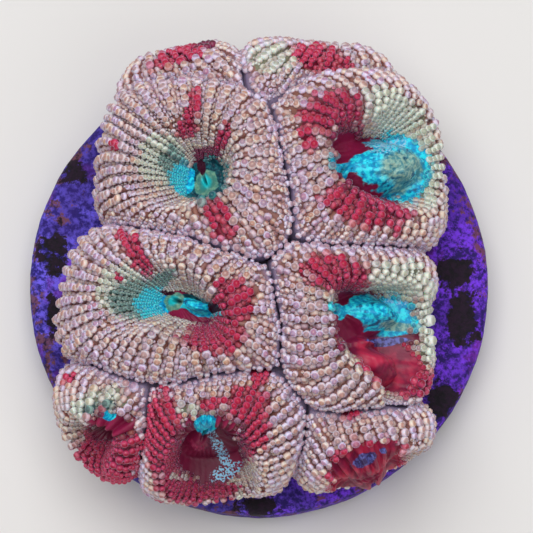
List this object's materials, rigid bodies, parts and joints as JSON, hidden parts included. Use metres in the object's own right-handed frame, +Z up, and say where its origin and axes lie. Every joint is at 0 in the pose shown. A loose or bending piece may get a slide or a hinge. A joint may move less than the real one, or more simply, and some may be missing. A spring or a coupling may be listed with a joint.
{
  "type": "brain coral on a stand disc",
  "caption": "Fleshy brain coral colony of puffy, beaded ring-shaped polyps, grown on a small round ceramic stand disc crusted with violet coralline algae.",
  "frame": {"origin": "centre of the stand disc's flat underside, on the surface it rests on", "axes": "+Z up, out of the colony's crown; +X and +Y lie in the surface, and the colony is longer along Y"},
  "size_m": [0.032, 0.0326, 0.0174],
  "materials": {
    "coral_tissue": "satin",
    "crusted_ceramic": "matte"
  },
  "bodies": {
    "root": {"coral_colony": "coral_tissue", "frag_disc": "crusted_ceramic"}
  },
  "joints": []
}
